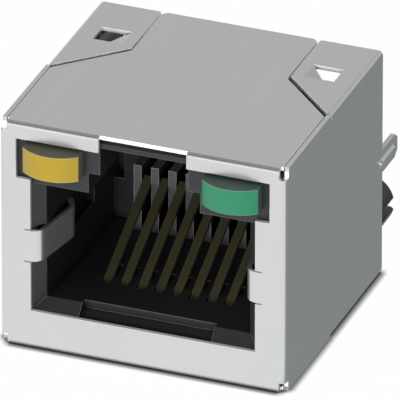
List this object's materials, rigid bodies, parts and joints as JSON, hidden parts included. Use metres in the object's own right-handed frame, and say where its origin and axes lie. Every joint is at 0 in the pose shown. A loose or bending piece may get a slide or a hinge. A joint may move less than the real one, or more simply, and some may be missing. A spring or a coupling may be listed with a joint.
{
  "type": "rj45 board jack",
  "caption": "Shielded straight modular jack for a circuit board, with a latched plug port, sprung contacts, two indicator lamps, split pegs and solder tabs.",
  "frame": {"origin": "middle of the shield's underside, halfway between front plate and board side", "axes": "+Y from the mating face towards the board, +Z towards the latch keyway, +X to the right seen from the mating face"},
  "size_m": [0.0168, 0.0188, 0.0137],
  "materials": {
    "shield": "satin plated sheet",
    "housing": "matte black moulding",
    "carrier": "matte black moulding",
    "contact": "plated strip",
    "lens_yellow": "diffused resin",
    "lens_green": "diffused resin",
    "lead": "tinned"
  },
  "bodies": {
    "root": {"shield_shell": "shield", "housing": "housing", "contact_carrier": "carrier", "lamp_left": "lens_yellow", "lamp_right": "lens_green", "contact_1": "contact", "contact_2": "contact", "contact_3": "contact", "contact_4": "contact", "contact_5": "contact", "contact_6": "contact", "contact_7": "contact", "contact_8": "contact", "lamp_left_lead_inner": "lead", "lamp_left_lead_outer": "lead", "lamp_right_lead_inner": "lead", "lamp_right_lead_outer": "lead"}
  },
  "joints": []
}
